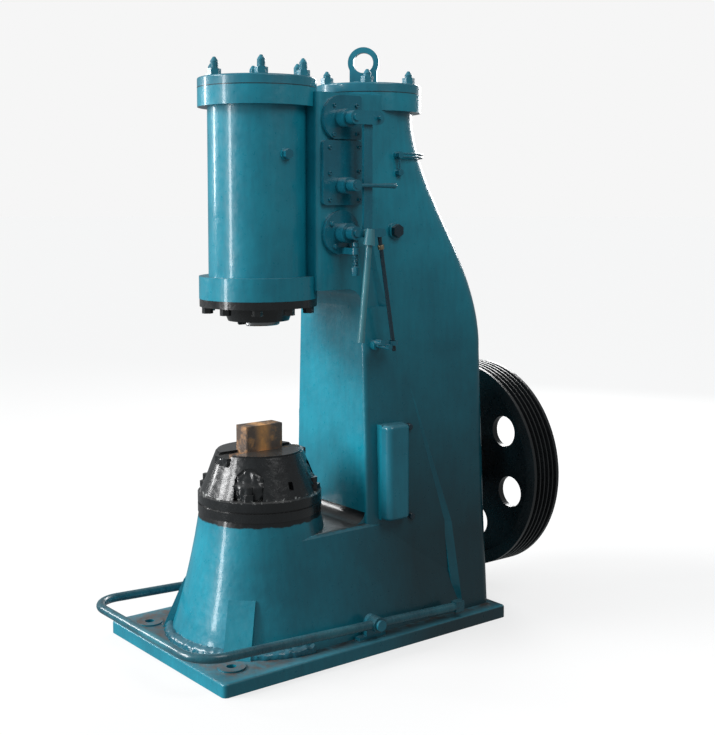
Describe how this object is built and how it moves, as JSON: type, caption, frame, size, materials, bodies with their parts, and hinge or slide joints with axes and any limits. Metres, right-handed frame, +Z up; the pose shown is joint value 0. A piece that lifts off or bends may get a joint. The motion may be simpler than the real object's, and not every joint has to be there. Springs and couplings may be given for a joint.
{
  "type": "air forging hammer",
  "caption": "Self-contained air forging hammer: one-piece C frame with working and compressor cylinders, anvil and lower die, valve levers, foot treadle and belt pulley.",
  "frame": {"origin": "where the working axis meets the underside of the base plate", "axes": "+Z up along the working axis, +Y towards the crank and belt pulley, +X towards the side with the valve levers"},
  "size_m": [0.73, 1.4509, 1.903],
  "materials": {
    "teal_enamel": "gloss enamel over rough casting",
    "black_enamel": "black gloss paint over casting",
    "rusty_steel": "bare forged steel with a film of rust",
    "bright_steel": "ground steel"
  },
  "bodies": {
    "frame": {"frame_casting": "teal_enamel", "working_cylinder_cover": "teal_enamel", "compressor_cylinder_cover": "teal_enamel", "working_cover_studs": "teal_enamel", "compressor_cover_studs": "teal_enamel", "lifting_eye": "teal_enamel", "gland": "black_enamel", "gland_bolts": "black_enamel", "anvil_ring": "black_enamel", "anvil_block": "black_enamel", "anvil_studs": "black_enamel", "lower_die": "rusty_steel", "die_key": "rusty_steel", "upper_valve_cover": "teal_enamel", "middle_valve_cover": "teal_enamel", "lower_valve_cover": "teal_enamel", "detent": "teal_enamel", "cylinder_plug": "teal_enamel", "bearing_housing": "teal_enamel", "bearing_housing_bolts": "black_enamel", "treadle_bracket_right": "teal_enamel", "treadle_bracket_left": "teal_enamel", "treadle_pin_right": "teal_enamel", "treadle_pin_left": "teal_enamel", "side_cover_right": "teal_enamel", "side_cover_left": "teal_enamel", "flank_plug": "black_enamel", "oil_pipe": "teal_enamel", "rod_guide": "teal_enamel"},
    "ram": {"ram": "bright_steel"},
    "flywheel": {"crankshaft": "bright_steel", "flywheel_pulley": "black_enamel", "shaft_key": "bright_steel"},
    "treadle": {"treadle_bar": "teal_enamel"},
    "hand_lever": {"lower_valve_arm": "teal_enamel", "hand_lever": "teal_enamel"},
    "upper_arm": {"upper_valve_arm": "teal_enamel"},
    "link": {"link_bar": "teal_enamel"},
    "pull_rod": {"pull_rod": "teal_enamel"},
    "mode_lever": {"mode_lever": "teal_enamel"}
  },
  "joints": [
    {"name": "ram_slide", "type": "slide", "parent": "frame", "child": "ram", "axis": [0, 0, 1], "range_m": [-0.225, 0]},
    {"name": "flywheel_spin", "type": "hinge", "parent": "frame", "child": "flywheel", "pos_m": [0, 0.9325, 0.453], "axis": [0, 1, 0], "continuous": true},
    {"name": "treadle_tilt", "type": "hinge", "parent": "frame", "child": "treadle", "pos_m": [0, 0.209, 0.092], "axis": [1, 0, 0], "range_deg": [0, 4.5], "stiffness_Nm_per_rad": 500, "springref_deg": -8.02},
    {"name": "hand_lever_turn", "type": "hinge", "parent": "frame", "child": "hand_lever", "pos_m": [0.243, 0.19, 1.3], "axis": [1, 0, 0], "range_deg": [-18, 18]},
    {"name": "upper_arm_turn", "type": "hinge", "parent": "frame", "child": "upper_arm", "pos_m": [0.243, 0.19, 1.653], "axis": [1, 0, 0], "range_deg": [-18, 18]},
    {"name": "link_swing", "type": "hinge", "parent": "hand_lever", "child": "link", "pos_m": [0.243, 0.246, 1.3], "axis": [1, 0, 0], "range_deg": [-18, 18]},
    {"name": "pull_rod_swing", "type": "hinge", "parent": "hand_lever", "child": "pull_rod", "pos_m": [0.243, 0.294, 1.3], "axis": [1, 0, 0], "range_deg": [-19, 19]},
    {"name": "mode_lever_turn", "type": "hinge", "parent": "frame", "child": "mode_lever", "pos_m": [0.243, 0.19, 1.446], "axis": [1, 0, 0], "range_deg": [-20, 50]}
  ],
  "couplings": [
    {"joint": "upper_arm_turn", "follows": "hand_lever_turn", "ratio": 1},
    {"joint": "link_swing", "follows": "hand_lever_turn", "ratio": -1},
    {"joint": "pull_rod_swing", "follows": "hand_lever_turn", "ratio": -1.047}
  ]
}
